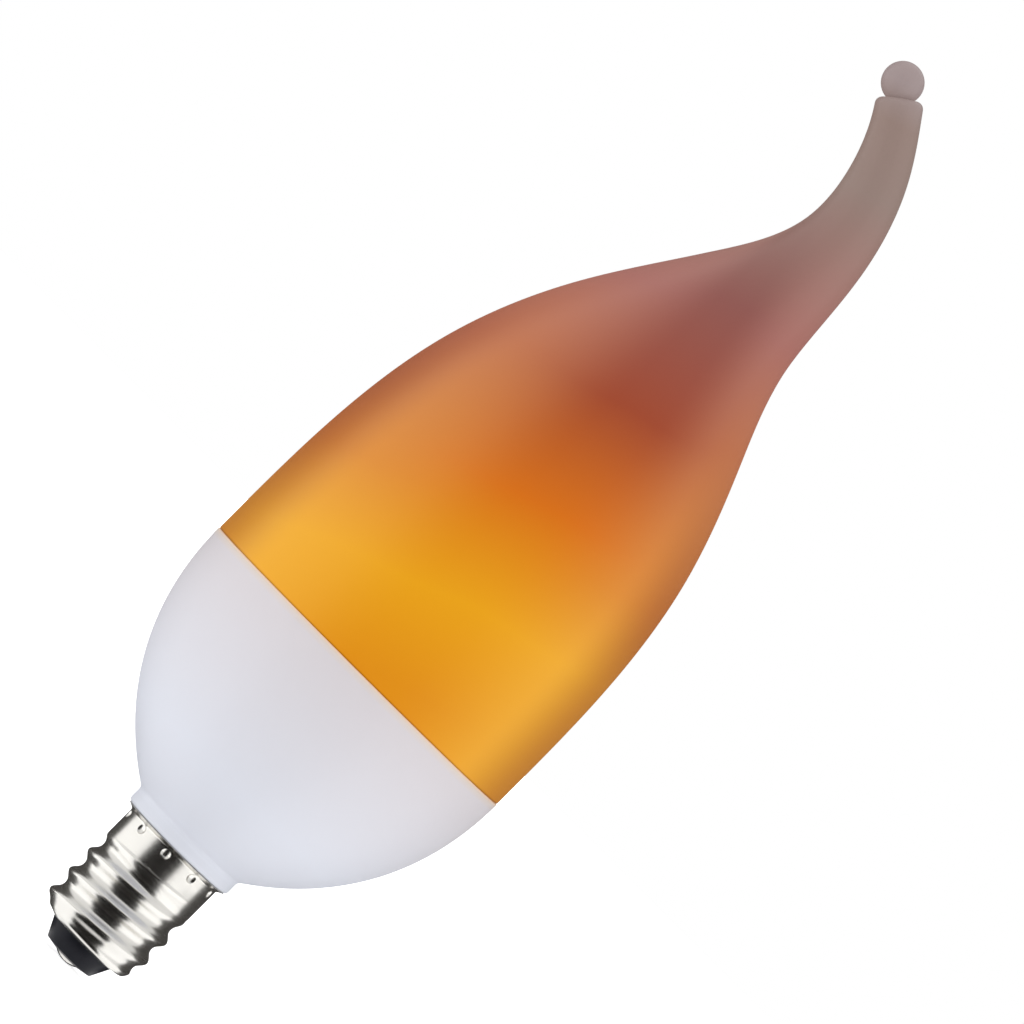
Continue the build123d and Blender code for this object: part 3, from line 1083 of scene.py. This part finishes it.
class CANDLEBULB_OT_stage(bpy.types.Operator):
    """Builds the studio: floor, softboxes, black flags and camera"""

    bl_idname = "candlebulb.stage"
    bl_label = "Stage"

    def execute(self, context):
        scene = context.scene
        settings = scene.candle_bulb.stage
        scene.view_settings.view_transform = "Standard"
        white_surround(settings)

        half = settings.floor_size / 2
        corners = [(-half, -half, 0), (half, -half, 0), (half, half, 0), (-half, half, 0)]
        stage_mesh("paper_floor", corners, [(0, 1, 2, 3)], white_paper(settings))

        distance = settings.card_distance
        low = (distance, settings.aim_height - settings.card_height / 2)
        high = (distance, settings.aim_height + settings.card_height / 2)
        cloth = softbox_cloth(settings)
        bent_card("left_softbox", settings.left_from, settings.left_to, low, high, cloth)
        bent_card("right_softbox", settings.right_from, settings.right_to, low, high, cloth)

        front_velvet = dark_velvet("front_velvet", settings.flag)
        back_velvet = dark_velvet("back_velvet", settings.back_flag)
        whole_turn = 2 * math.pi
        flags = {
            "front": (settings.left_from, settings.right_from, front_velvet),
            "back": (settings.right_to, whole_turn + settings.left_to, back_velvet),
        }
        above_floor = 0.01 * MM
        near, far = (settings.floor_gap, above_floor), (distance, above_floor)
        beside = (settings.near_reach, above_floor)
        cards = []
        for name, (bearing_from, bearing_to, velvet) in flags.items():
            cards.append(bent_card(f"{name}_flag", bearing_from, bearing_to, low, high, velvet))
            cards.append(bent_card(f"{name}_floor_flag", bearing_from, bearing_to, near, far, velvet))
        cards.append(
            bent_card("near_floor_flag", settings.near_from, settings.left_to, near, beside, back_velvet)
        )
        # A painted shadow below the contact, which only its reflection shows
        cards.append(contact_shadow_card(settings, above_floor, front_velvet))
        for card in cards:
            card.visible_diffuse = False
            card.visible_shadow = False
            card.visible_transmission = False

        lens = bpy.data.cameras.new("camera")
        lens.lens = lens.sensor_width * settings.view_distance / settings.view_width
        camera = bpy.data.objects.new("camera", lens)
        camera.location = (0, -settings.view_distance, settings.view_height)
        aim = Vector((0, 0, settings.aim_height)) - camera.location
        camera.rotation_mode = "QUATERNION"
        roll = Quaternion((0, 0, 1), settings.view_roll)
        camera.rotation_quaternion = aim.to_track_quat("-Z", "Y") @ roll
        scene.collection.objects.link(camera)
        scene.camera = camera
        return {"FINISHED"}


class CANDLEBULB_PT_panel(bpy.types.Panel):
    """Lists the candle bulb's pieces with their sizes and colours"""

    bl_idname = "CANDLEBULB_PT_panel"
    bl_label = "Candle Bulb"
    bl_space_type = "VIEW_3D"
    bl_region_type = "UI"
    bl_category = "Candle Bulb"

    def draw(self, context):
        settings = context.scene.candle_bulb
        for group, operators in GROUPS.items():
            box = self.layout.box()
            for operator in operators:
                box.operator(operator.bl_idname)
            part = getattr(settings, group)
            for name in part.__annotations__:
                box.prop(part, name)


GROUPS = {
    "diffuser": (CANDLEBULB_OT_diffuser,),
    "housing": (CANDLEBULB_OT_housing,),
    "cap": (CANDLEBULB_OT_screw_shell, CANDLEBULB_OT_insulator, CANDLEBULB_OT_centre_contact),
    "stage": (CANDLEBULB_OT_stage,),
}

CLASSES = (
    DiffuserSettings,
    HousingSettings,
    CapSettings,
    StageSettings,
    CandleBulbSettings,
    *(operator for operators in GROUPS.values() for operator in operators),
    CANDLEBULB_PT_panel,
)


def register():
    """Registers the add-on's classes and hangs its settings on the scene."""
    for item in CLASSES:
        bpy.utils.register_class(item)
    bpy.types.Scene.candle_bulb = PointerProperty(
        type=CandleBulbSettings, name="Candle bulb", description="Sizes and colours of the candle bulb"
    )


def unregister():
    """Takes the settings and the classes away again."""
    del bpy.types.Scene.candle_bulb
    for item in reversed(CLASSES):
        bpy.utils.unregister_class(item)


def main():
    """Builds every piece and the studio."""
    register()
    bpy.ops.candlebulb.diffuser()
    bpy.ops.candlebulb.housing()
    bpy.ops.candlebulb.screw_shell()
    bpy.ops.candlebulb.insulator()
    bpy.ops.candlebulb.centre_contact()
    bpy.ops.candlebulb.stage()


if __name__ == "__main__":
    main()
